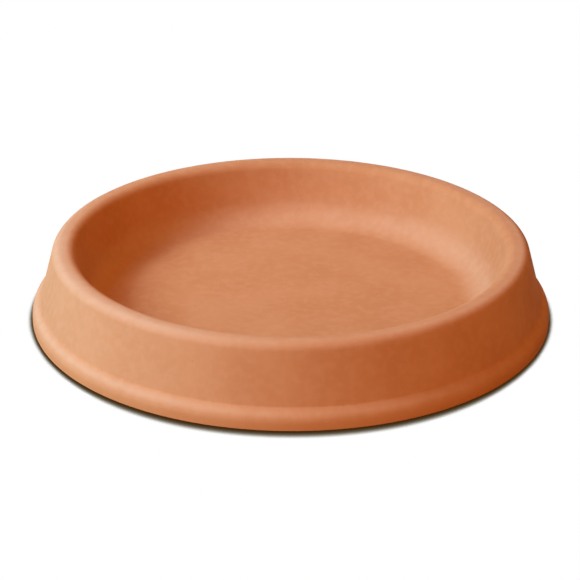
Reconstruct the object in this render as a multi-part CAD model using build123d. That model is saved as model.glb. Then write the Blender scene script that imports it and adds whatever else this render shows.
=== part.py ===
from build123d import *
from math import radians, tan
import os

# Plant saucer of plain fired clay: a round dish that stands under a flower pot and holds
# the water that drains from it. It is one pressed piece, the same all the way round its
# upright axis. The origin is the centre of the circle that it stands on, +Z is up, and
# lengths are in millimetres. Leans are in degrees from the upright.

# Outside: an upright foot band, a sloping ledge on it, and a wall that leans in to the rim.
foot_radius = 150.0
overall_height = 42.8
band_height = 6.7
ledge_width = 5.1
ledge_rise = 4.5
wall_lean = 15.6

# Rim: its width is measured at the top, between the two walls as if both ran on to it.
rim_width = 11.6
rim_outer_rounding = 5.5
rim_inner_rounding = 6.4

# Dish: a wall that leans outwards, a wide cove and a flat floor.
dish_wall_lean = 17.0
cove_radius = 18.3
floor_clay = 5.7

# Underside: a ring to stand on, a middle lifted clear of the ground, and a hollow between
# them, which keeps the clay under the wall about as thick as the rim.
middle_lift = 0.8
foot_ring_width = 11.0
hollow_mouth_width = 22.5
hollow_depth = 16.5
hollow_inner_lean = 31.5

# Foot: its band is rounded over into the ledge, and both edges of the ring that it stands
# on are bevelled.
band_rounding = 7.0
ring_edge_bevel = 1.2


def lean_shift(lean, rise):
    """How far a surface with this lean moves sideways over this rise."""
    return tan(radians(lean)) * rise


def outside_corners():
    """Corners from the foot band up to the rim's outer edge, each with its rounding or 0."""
    ledge_top = band_height + ledge_rise
    wall_foot_radius = foot_radius - ledge_width
    rim_radius = wall_foot_radius - lean_shift(wall_lean, overall_height - ledge_top)
    return [
        ((foot_radius, band_height), band_rounding),
        ((wall_foot_radius, ledge_top), 0),
        ((rim_radius, overall_height), rim_outer_rounding),
    ]


def dish_corners(rim_radius):
    """Corners from the rim's inner edge down to the foot of the dish's wall."""
    mouth_radius = rim_radius - rim_width
    floor_height = middle_lift + floor_clay
    wall_drop = overall_height - floor_height
    floor_corner_radius = mouth_radius - lean_shift(dish_wall_lean, wall_drop)
    return [
        ((mouth_radius, overall_height), rim_inner_rounding),
        ((floor_corner_radius, floor_height), cove_radius),
    ]


def underside_corners():
    """Sharp corners from the lifted middle, round the hollow and the ring, to the foot band."""
    bevel = ring_edge_bevel
    ring_inner_radius = foot_radius - foot_ring_width
    middle_radius = ring_inner_radius - hollow_mouth_width
    hollow_inner_rise = hollow_depth - middle_lift
    hollow_inner_radius = middle_radius + lean_shift(hollow_inner_lean, hollow_inner_rise)
    hollow_outer_radius = ring_inner_radius - lean_shift(wall_lean, hollow_depth)
    places = [
        (middle_radius, middle_lift),
        (hollow_inner_radius, hollow_depth),
        (hollow_outer_radius, hollow_depth),
        (ring_inner_radius - lean_shift(wall_lean, bevel), bevel),
        (ring_inner_radius + bevel, 0),
        (foot_radius - bevel, 0),
        (foot_radius, bevel),
    ]
    return [(place, 0) for place in places]


def half_section():
    """The clay's cross-section on one side of the upright axis, as a face."""
    outside = outside_corners()
    rim_corner, rim_rounding = outside[-1]
    corners = underside_corners() + outside + dish_corners(rim_corner[0])
    middle = (0, middle_lift)
    floor_centre = (0, middle_lift + floor_clay)
    points = [middle] + [place for place, rounding in corners] + [floor_centre]
    roundings = [rounding for place, rounding in corners]
    surface = FilletPolyline(points, radius=roundings)
    axis_line = Line(floor_centre, middle)
    return make_face(surface.edges() + axis_line.edges())


def saucer():
    """The whole saucer: its half section turned once round the upright axis."""
    return revolve(Plane.XZ * half_section(), axis=Axis.Z)


os.makedirs("parts", exist_ok=True)
export_step(saucer(), "parts/saucer.step")
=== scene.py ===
from math import ceil, cos, radians, sin, tan, tau

import bmesh
import bpy
from mathutils import Matrix, Vector, noise


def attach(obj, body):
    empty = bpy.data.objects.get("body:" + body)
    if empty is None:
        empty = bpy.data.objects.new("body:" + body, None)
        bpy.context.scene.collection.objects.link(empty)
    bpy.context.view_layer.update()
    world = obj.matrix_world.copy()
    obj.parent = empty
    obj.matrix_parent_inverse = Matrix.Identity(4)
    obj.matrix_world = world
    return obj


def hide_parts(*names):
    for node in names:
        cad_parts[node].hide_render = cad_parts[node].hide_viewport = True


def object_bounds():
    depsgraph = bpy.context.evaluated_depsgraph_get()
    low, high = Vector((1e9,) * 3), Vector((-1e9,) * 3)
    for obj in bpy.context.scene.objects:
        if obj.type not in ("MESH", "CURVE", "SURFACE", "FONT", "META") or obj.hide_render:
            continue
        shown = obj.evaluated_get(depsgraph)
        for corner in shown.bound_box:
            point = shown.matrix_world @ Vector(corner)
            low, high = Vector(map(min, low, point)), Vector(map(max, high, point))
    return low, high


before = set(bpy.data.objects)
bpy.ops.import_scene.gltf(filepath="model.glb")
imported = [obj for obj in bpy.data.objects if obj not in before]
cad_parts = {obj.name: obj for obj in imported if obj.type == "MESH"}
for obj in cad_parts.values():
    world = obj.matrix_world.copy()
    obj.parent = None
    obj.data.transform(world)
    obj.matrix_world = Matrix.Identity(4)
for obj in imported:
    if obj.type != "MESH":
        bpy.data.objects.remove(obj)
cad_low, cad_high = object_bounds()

# Plant saucer of plain fired clay, in metres, standing on its round foot at the origin, +Z up.
# Leans are in degrees from the upright, and azimuths in degrees from +X towards +Y.
mm = 0.001
foot_radius = cad_high.x
overall_height = cad_high.z

# Outside: a foot band, a sloping ledge on it, and a wall that leans in to the rim.
band_height = 6.7 * mm
band_rounding = 7.0 * mm
ledge_width = 5.1 * mm
ledge_rise = 4.5 * mm
wall_lean = 15.6
wall_foot_rounding = 2.0 * mm

# Rim: its width is measured at the top, between the two walls as if both ran on to it.
rim_width = 11.6 * mm
rim_outer_rounding = 5.5 * mm
rim_inner_rounding = 6.4 * mm

# Dish: a wall that leans outwards, a wide cove and a flat floor.
dish_wall_lean = 17.0
cove_radius = 18.3 * mm
floor_height = 6.5 * mm

# Underside: a ring to stand on, a lifted middle and a hollow between them.
middle_lift = 0.8 * mm
foot_ring_width = 11.0 * mm
hollow_mouth_width = 22.5 * mm
hollow_depth = 16.5 * mm
hollow_inner_lean = 31.5
hollow_top_rounding = 2.2 * mm
ground_edge_rounding = 1.4 * mm
foot_edge_rounding = 0.6 * mm

# Fineness of the turned mesh.
turn_steps = 288
run_step = 2.2 * mm
arc_step = radians(8)
weld_distance = 0.001 * mm

# Unevenness of the skin: size and depth of its hollows, and the height below which it fades out.
uneven_wave = 38 * mm
uneven_depth = 0.12 * mm
settled_height = 4 * mm


def lean_shift(lean, rise):
    """How far a surface with this lean moves sideways over this rise."""
    return tan(radians(lean)) * rise


def outside_corners():
    """Corners from the ground up to the rim's outer edge, each with its rounding."""
    ledge_top = band_height + ledge_rise
    wall_foot_radius = foot_radius - ledge_width
    rim_radius = wall_foot_radius - lean_shift(wall_lean, overall_height - ledge_top)
    return [
        (foot_radius, 0, foot_edge_rounding),
        (foot_radius, band_height, band_rounding),
        (wall_foot_radius, ledge_top, wall_foot_rounding),
        (rim_radius, overall_height, rim_outer_rounding),
    ]


def dish_corners(rim_radius):
    """Corners from the rim's inner edge down to the foot of the dish's wall."""
    mouth_radius = rim_radius - rim_width
    wall_drop = overall_height - floor_height
    floor_corner_radius = mouth_radius - lean_shift(dish_wall_lean, wall_drop)
    return [
        (mouth_radius, overall_height, rim_inner_rounding),
        (floor_corner_radius, floor_height, cove_radius),
    ]


def underside_corners():
    """Corners from the lifted middle, round the hollow, to the ring that it stands on."""
    ring_inner_radius = foot_radius - foot_ring_width
    middle_radius = ring_inner_radius - hollow_mouth_width
    hollow_rise = hollow_depth - middle_lift
    hollow_inner_radius = middle_radius + lean_shift(hollow_inner_lean, hollow_rise)
    hollow_outer_radius = ring_inner_radius - lean_shift(wall_lean, hollow_depth)
    return [
        (middle_radius, middle_lift, ground_edge_rounding),
        (hollow_inner_radius, hollow_depth, hollow_top_rounding),
        (hollow_outer_radius, hollow_depth, hollow_top_rounding),
        (ring_inner_radius, 0, ground_edge_rounding),
    ]


def draw_run(clay, start, place):
    """Adds an edge from the vertex start to a place on the section, and gives its new end."""
    end = bmesh.ops.extrude_vert_indiv(clay, verts=[start])["verts"][0]
    end.co = place
    return end


def draw_rounding(clay, start, before, corner, after, rounding):
    """Runs up to a corner of the section and round it, on an arc that meets both sides."""
    arriving = (corner - before).normalized()
    leaving = (after - corner).normalized()
    turn = arriving.angle(leaving)
    turn_axis = arriving.cross(leaving).normalized()
    arc_start = draw_run(clay, start, corner - arriving * rounding * tan(turn / 2))
    centre = arc_start.co + turn_axis.cross(arriving) * rounding
    steps = ceil(turn / arc_step)
    arc = bmesh.ops.spin(
        clay, geom=[arc_start], cent=centre, axis=turn_axis, angle=turn, steps=steps)
    return [end for end in arc["geom_last"] if isinstance(end, bmesh.types.BMVert)][0]


def draw_half_section(clay):
    """Draws the clay's cross-section on one side of the upright axis, as a chain of edges."""
    outside = outside_corners()
    corners = underside_corners() + outside + dish_corners(outside[-1][0])
    places = [Vector((radius, 0, height)) for radius, height, rounding in corners]
    places = [Vector((0, 0, middle_lift))] + places + [Vector((0, 0, floor_height))]
    end = clay.verts.new(places[0])
    for i, (radius, height, rounding) in enumerate(corners):
        end = draw_rounding(clay, end, places[i], places[i + 1], places[i + 2], rounding)
    draw_run(clay, end, places[-1])


def divide_long_runs(clay):
    """Cuts the section's straight runs into steps short enough for the skin's unevenness."""
    for edge in clay.edges[:]:
        cuts = ceil(edge.calc_length() / run_step) - 1
        if cuts > 0:
            bmesh.ops.subdivide_edges(clay, edges=[edge], cuts=cuts)


def turn_section(clay):
    """Turns the half section once round the upright axis into a closed skin."""
    bmesh.ops.spin(
        clay, geom=clay.verts[:] + clay.edges[:], cent=(0, 0, 0), axis=(0, 0, 1), angle=tau,
        steps=turn_steps, use_merge=True)
    bmesh.ops.remove_doubles(clay, verts=clay.verts[:], dist=weld_distance)
    bmesh.ops.recalc_face_normals(clay, faces=clay.faces[:])


def work_by_hand(clay):
    """Sinks the skin a little here and there, as in soft clay, but not the ring at the ground."""
    clay.normal_update()
    for vert in clay.verts:
        sunk = (1 + noise.noise(vert.co / uneven_wave)) / 2
        settled = min(1, vert.co.z / settled_height)
        vert.co -= vert.normal * sunk * settled * uneven_depth


def saucer_piece(finish):
    """The whole saucer as one object with this finish."""
    clay = bmesh.new()
    draw_half_section(clay)
    divide_long_runs(clay)
    turn_section(clay)
    work_by_hand(clay)
    for face in clay.faces:
        face.smooth = True
    mesh = bpy.data.meshes.new("clay_saucer")
    clay.to_mesh(mesh)
    clay.free()
    mesh.materials.append(finish)
    piece = bpy.data.objects.new("clay_saucer", mesh)
    bpy.context.scene.collection.objects.link(piece)
    return piece


class Wire:
    """A value between shader nodes. Sums, products and powers of wires add Math nodes."""

    def __init__(self, board, socket):
        self.board = board
        self.socket = socket

    def math(self, operation, left, right):
        return self.board.node("ShaderNodeMath", {"operation": operation}, {0: left, 1: right})

    def __add__(self, other):
        return self.math("ADD", self, other)

    def __radd__(self, other):
        return self.math("ADD", other, self)

    def __sub__(self, other):
        return self.math("SUBTRACT", self, other)

    def __rsub__(self, other):
        return self.math("SUBTRACT", other, self)

    def __mul__(self, other):
        return self.math("MULTIPLY", self, other)

    def __rmul__(self, other):
        return self.math("MULTIPLY", other, self)

    def __truediv__(self, other):
        return self.math("DIVIDE", self, other)

    def __pow__(self, power):
        return self.math("POWER", self, power)


class Board:
    """The node tree of one material or of the world."""

    def __init__(self, tree):
        self.tree = tree
        self.tree.nodes.clear()

    def node(self, kind, settings=None, values=None, output=0):
        """Adds a node: first its settings, then the values or links of its sockets."""
        made = self.tree.nodes.new(kind)
        for name, value in (settings or {}).items():
            if name == "stops":
                self.set_stops(made.color_ramp, value)
            else:
                setattr(made, name, value)
        for name, value in (values or {}).items():
            if isinstance(value, Wire):
                self.tree.links.new(value.socket, made.inputs[name])
            else:
                made.inputs[name].default_value = value
        return Wire(self, made.outputs[output]) if made.outputs else made

    def set_stops(self, ramp, stops):
        """Gives a colour ramp these stops, each a position and a colour."""
        while len(ramp.elements) < len(stops):
            ramp.elements.new(1.0)
        for element, (position, colour) in zip(ramp.elements, stops):
            element.position = position
            element.color = colour

    def fade(self, value, start, end):
        """0 before start and 1 past end, with a smooth step between them."""
        return self.node(
            "ShaderNodeMapRange", {"interpolation_type": "SMOOTHSTEP"},
            {"Value": value, "From Min": start, "From Max": end})

    def blend(self, share, first, second):
        """The first colour, with a share of the second laid over it."""
        return self.node(
            "ShaderNodeMix", {"data_type": "RGBA", "blend_type": "MIX"},
            {0: share, 6: first, 7: second}, output=2)

    def grain(self, place, size, detail, roughness=0.5):
        """Soft noise from 0 to 1 whose patches are about this size."""
        return self.node(
            "ShaderNodeTexNoise", {},
            {"Vector": place, "Scale": 1 / size, "Detail": detail, "Roughness": roughness})


class Spot:
    """A place on an object: as a vector, as x and y, and as distance from the axis and height."""

    def __init__(self, board):
        self.place = board.node("ShaderNodeTexCoord", output="Object")
        self.x = board.node("ShaderNodeSeparateXYZ", values={0: self.place}, output="X")
        self.y = board.node("ShaderNodeSeparateXYZ", values={0: self.place}, output="Y")
        self.height = board.node("ShaderNodeSeparateXYZ", values={0: self.place}, output="Z")
        self.radius = (self.x * self.x + self.y * self.y) ** 0.5


def direction(azimuth, elevation):
    """Unit vector towards this azimuth and this height above the ground, in degrees."""
    a, e = radians(azimuth), radians(elevation)
    return Vector((cos(a) * cos(e), sin(a) * cos(e), sin(e)))


# Colours of the clay, of its painted highlight and of the painted shade in its pores, as linear
# RGB.
plain_clay = (0.608, 0.290, 0.132, 1)
deep_clay = (0.573, 0.258, 0.111, 1)
pale_clay = (0.632, 0.320, 0.158, 1)
bloom_and_highlight_clay = (0.637, 0.382, 0.231, 1)
foot_clay = (0.595, 0.262, 0.098, 1)
painted_pore_shade = (0.27, 0.095, 0.036, 1)

# What the fired surface shows: sizes, the noise values between which each fades in, and the most
# that each takes of the colour.
cloud_size = 34 * mm
cloud_limits = (0.32, 0.68)
mottle_size = 5 * mm
mottle_limits = (0.40, 0.68)
mottle_share = 0.45
grain_size = 0.9 * mm
grain_depth = 0.036 * mm
line_spacing = 1.6 * mm
line_drift = 0.02
line_depth = 0.022 * mm
line_limits = (0.50, 0.75)
line_share = 0.25
pore_spacing = 5.5 * mm
pore_radius = 0.42 * mm
pore_depth = 0.16 * mm
pore_share = 0.6
foot_tint_top = band_height
foot_tint_full = 2.5 * mm
foot_tint_share = 0.6

# Pale bloom with painted highlight on three rings: the middle of each, its reach and its strength.
rim_ring_inset = 3 * mm
rim_ring_reach = 8.5 * mm
rim_bloom_and_highlight = 0.62
ledge_ring_inset = 2.6 * mm
ledge_ring_rise = 2 * mm
ledge_ring_reach = 4.4 * mm
ledge_bloom_and_highlight = 0.5
cove_ring_rise = 4 * mm
cove_ring_reach = 17 * mm
cove_bloom_and_highlight = 0.7
ring_evenness = 0.4

# Painted highlight: the rim and the ledge are paler on two opposite sides, where the cool lamps
# light them, and so is the outer wall on one. Their azimuth and strengths were set to meet the
# photo, which can't tell uneven clay from uneven light.
lit_side_azimuth = 210
lit_side_start = 0.35
lit_side_full = 0.95
least_ring_paleness = 0.75
lit_side_highlight = 1.6
far_side_highlight = 0.7
lit_wall_highlight = 0.3
outside_edge_width = 6 * mm

clay_roughness = 0.84
mottle_roughness = 0.12
clay_gloss = 0.06


def turning_lines(board, spot):
    """Faint rings from the tool that shaped the turning clay, from 0 to 1, with no seam."""
    ring = board.node(
        "ShaderNodeCombineXYZ",
        values={"X": spot.x * line_drift, "Y": spot.y * line_drift, "Z": spot.radius})
    return board.node(
        "ShaderNodeTexNoise", {"noise_dimensions": "4D"},
        {"Vector": ring, "W": spot.height / line_spacing, "Scale": 1 / line_spacing,
         "Detail": 3.0, "Roughness": 0.6})


def clay_pores(board, spot):
    """Small pits where grit or air came out, scattered unevenly: 1 in a pit and 0 outside."""
    cell = {"Vector": spot.place, "Scale": 1 / pore_spacing, "Randomness": 1.0}
    cells_away = board.node("ShaderNodeTexVoronoi", {"feature": "F1"}, cell, output="Distance")
    chance = board.node("ShaderNodeTexVoronoi", {"feature": "F1"}, cell, output="Color")
    lot = board.node("ShaderNodeSeparateColor", {}, {0: chance}, output="Red")
    size = (lot * 2 - 1) * pore_radius
    return board.fade(size - cells_away * pore_spacing, 0, 0.5 * pore_radius)


def near_ring(board, spot, ring_radius, ring_height, reach):
    """1 on a ring round the axis, fading to 0 at a reach away from it."""
    across = spot.radius - ring_radius
    above = spot.height - ring_height
    return 1 - board.fade((across * across + above * above) ** 0.5, 0, reach)


def larger(first, second):
    """The larger of two wires."""
    return first.math("MAXIMUM", first, second)


def pale_rings_and_painted_highlight(board, spot):
    """Paler clay on the rim, the ledge and the cove, with a painted highlight on two opposite
    sides.
    """
    rim_radius = outside_corners()[-1][0]
    floor_corner_radius = dish_corners(rim_radius)[-1][0]
    rim = near_ring(board, spot, rim_radius - rim_ring_inset, overall_height, rim_ring_reach)
    ledge = near_ring(
        board, spot, foot_radius - ledge_ring_inset, band_height + ledge_ring_rise,
        ledge_ring_reach)
    cove = near_ring(
        board, spot, floor_corner_radius, floor_height + cove_ring_rise, cove_ring_reach)
    sideways = board.node(
        "ShaderNodeVectorMath", {"operation": "DOT_PRODUCT"},
        {0: spot.place, 1: direction(lit_side_azimuth, 0)}, output="Value") / foot_radius
    lit_share = board.fade(sideways, lit_side_start, lit_side_full)
    far_lit_share = board.fade(sideways, -lit_side_start, -lit_side_full)
    # Painted highlight: the rings are paler on the lit side and, less, on the far side.
    strength = lit_share * lit_side_highlight + far_lit_share * far_side_highlight + least_ring_paleness
    outside = board.fade(spot.radius, rim_radius - outside_edge_width, rim_radius)
    edges = larger(rim * rim_bloom_and_highlight, ledge * ledge_bloom_and_highlight) * strength
    skin = larger(edges, outside * lit_share * lit_wall_highlight)
    return larger(skin, cove * cove_bloom_and_highlight)


def terracotta():
    """Unglazed fired clay: faintly cloudy, turning lines, grain, pores in painted shade, bloom,
    painted highlight.
    """
    material = bpy.data.materials.new("terracotta")
    material.use_nodes = True
    board = Board(material.node_tree)
    spot = Spot(board)
    cloud = board.grain(spot.place, cloud_size, 3.0)
    mottle = board.grain(spot.place, mottle_size, 3.0)
    grain = board.grain(spot.place, grain_size, 4.0, 0.6)
    lines = turning_lines(board, spot)
    pores = clay_pores(board, spot)
    bloom_and_highlight = pale_rings_and_painted_highlight(board, spot) * (mottle * (1 - ring_evenness) + ring_evenness)
    foot_tint = board.fade(spot.height, foot_tint_top, foot_tint_full)

    colour = board.blend(board.fade(cloud, *cloud_limits), plain_clay, deep_clay)
    colour = board.blend(board.fade(mottle, *mottle_limits) * mottle_share, colour, pale_clay)
    colour = board.blend(board.fade(lines, *line_limits) * line_share, colour, deep_clay)
    # Pale bloom, with a painted highlight where the lamps light the rim and the ledge.
    colour = board.blend(bloom_and_highlight, colour, bloom_and_highlight_clay)
    colour = board.blend(foot_tint * foot_tint_share, colour, foot_clay)
    # Painted shade in the pits.
    colour = board.blend(pores * pore_share, colour, painted_pore_shade)
    relief = grain * grain_depth + lines * line_depth - pores * pore_depth
    normal = board.node(
        "ShaderNodeBump", {}, {"Height": relief, "Distance": 1.0, "Strength": 1.0})
    shader = board.node("ShaderNodeBsdfPrincipled", {}, {
        "Base Color": colour,
        "Roughness": mottle * mottle_roughness + clay_roughness,
        "Specular IOR Level": clay_gloss,
        "Normal": normal})
    board.node("ShaderNodeOutputMaterial", {}, {"Surface": shader})
    return material


def seen_ray(board):
    """1 for a ray that shows something to the camera, straight, in a mirror or through glass."""
    camera = board.node("ShaderNodeLightPath", output="Is Camera Ray")
    glossy = board.node("ShaderNodeLightPath", output="Is Glossy Ray")
    glass = board.node("ShaderNodeLightPath", output="Is Transmission Ray")
    return larger(camera, larger(glossy, glass))


white = (1, 1, 1, 1)
floor_colour = (0.60, 0.48, 0.34, 1)
floor_half_width = 4.0

# The dark line at the foot stands for the contact shadow, the only shadow in the photo: how far it
# reaches at the front (-Y), how much narrower and fainter it gets at the sides and the back, where
# it begins to, and its colours by openness. All of it was set to meet the photo.
contact_reach = 7.6 * mm
side_narrowing = 0.8
side_lift = 0.07
side_limits = (0.25, 1.0)
openness_at_foot = 0.5
contact_stops = [
    (0.56, (0.050, 0.022, 0.005, 1)),
    (0.68, (0.060, 0.032, 0.010, 1)),
    (0.77, (0.095, 0.070, 0.042, 1)),
    (0.84, (0.185, 0.155, 0.120, 1)),
    (0.90, (0.360, 0.335, 0.290, 1)),
    (0.955, (0.680, 0.670, 0.630, 1)),
    (0.99, (1, 1, 1, 1)),
]


def contact_shade(board, side):
    """White that darkens to a brown line at the foot, thinner where side nears 1."""
    openness = board.node(
        "ShaderNodeAmbientOcclusion", {"samples": 24}, {"Distance": contact_reach}, output="AO")
    narrowed = (openness - openness_at_foot) * (side * side_narrowing + 1)
    shown = narrowed + side * side_lift + openness_at_foot
    return board.node("ShaderNodeValToRGB", {"stops": contact_stops}, {0: shown})


def floor_finish():
    """Pale floor for the light, shown as white with a dark line where the foot touches it."""
    material = bpy.data.materials.new("pale_floor")
    material.use_nodes = True
    board = Board(material.node_tree)
    spot = Spot(board)
    side = 1 - board.fade(0 - spot.y / spot.radius, *side_limits)
    glow = board.node(
        "ShaderNodeEmission", {}, {"Color": contact_shade(board, side), "Strength": 1.0})
    matt = board.node("ShaderNodeBsdfDiffuse", {}, {"Color": floor_colour})
    mixed = board.node("ShaderNodeMixShader", {}, {0: seen_ray(board), 1: matt, 2: glow})
    board.node("ShaderNodeOutputMaterial", {}, {"Surface": mixed})
    return material


def lay_floor():
    """A wide flat floor at the height of the ground."""
    ground = bmesh.new()
    bmesh.ops.create_grid(ground, x_segments=1, y_segments=1, size=floor_half_width)
    mesh = bpy.data.meshes.new("pale_floor")
    ground.to_mesh(mesh)
    ground.free()
    mesh.materials.append(floor_finish())
    floor = bpy.data.objects.new("pale_floor", mesh)
    bpy.context.scene.collection.objects.link(floor)


def light_world(strength, tint):
    """Even light from all round, in front of a white background."""
    world = bpy.data.worlds.new("soft_room")
    world.use_nodes = True
    board = Board(world.node_tree)
    room = board.node("ShaderNodeBackground", {}, {"Color": tint, "Strength": strength})
    backdrop = board.node("ShaderNodeBackground", {}, {"Color": white, "Strength": 1.0})
    mixed = board.node("ShaderNodeMixShader", {}, {0: seen_ray(board), 1: room, 2: backdrop})
    board.node("ShaderNodeOutputWorld", {}, {"Surface": mixed})
    bpy.context.scene.world = world


cool_light = (0.625, 0.813, 1.0)
warm_light = (1.0, 0.36, 0.08)
room_strength = 0.01
lamp_distance = 1.5

# Soft boxes: name, azimuth, elevation, width in metres, power in watts and tint.
lamps = [
    ("key_light", 190, 38, 0.5, 15.4, cool_light),
    ("high_light", 165, 50, 0.5, 7.5, cool_light),
    ("side_light", 210, 30, 0.9, 10.6, cool_light),
    ("top_light", 0, 90, 0.9, 6.5, warm_light),
    ("front_light", 280, 22, 0.9, 7.2, warm_light),
    ("right_light", 330, 25, 0.9, 1.9, warm_light),
    ("back_light", 85, 35, 0.9, 3.6, warm_light),
]


def soft_lamp(name, azimuth, elevation, width, power, tint):
    """A square soft box that faces the saucer."""
    light = bpy.data.lights.new(name, "AREA")
    light.size = width
    light.energy = power
    light.color = tint
    lamp = bpy.data.objects.new(name, light)
    lamp.location = direction(azimuth, elevation) * lamp_distance
    lamp.rotation_euler = direction(azimuth, elevation).to_track_quat("Z", "Y").to_euler()
    bpy.context.scene.collection.objects.link(lamp)


camera_distance = 1004.6 * mm
camera_elevation = 25.28
camera_lens = 106.24
camera_roll = 0.20
aim_point = Vector((-0.5 * mm, 0, 9.9 * mm))


def place_camera():
    """The photograph's view: from the front and above, with a long lens."""
    lens = bpy.data.cameras.new("camera")
    lens.lens = camera_lens
    lens.sensor_width = 36.0
    camera = bpy.data.objects.new("camera", lens)
    camera.location = direction(-90, camera_elevation) * camera_distance
    look = (aim_point - camera.location).to_track_quat("-Z", "Y").to_matrix()
    camera.rotation_euler = (look @ Matrix.Rotation(radians(camera_roll), 3, "Z")).to_euler()
    bpy.context.scene.collection.objects.link(camera)
    bpy.context.scene.camera = camera


saucer = saucer_piece(terracotta())
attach(saucer, "root")
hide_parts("saucer")
lay_floor()
light_world(room_strength, warm_light + (1,))
for lamp_values in lamps:
    soft_lamp(*lamp_values)
place_camera()
bpy.context.scene.view_settings.view_transform = "Standard"
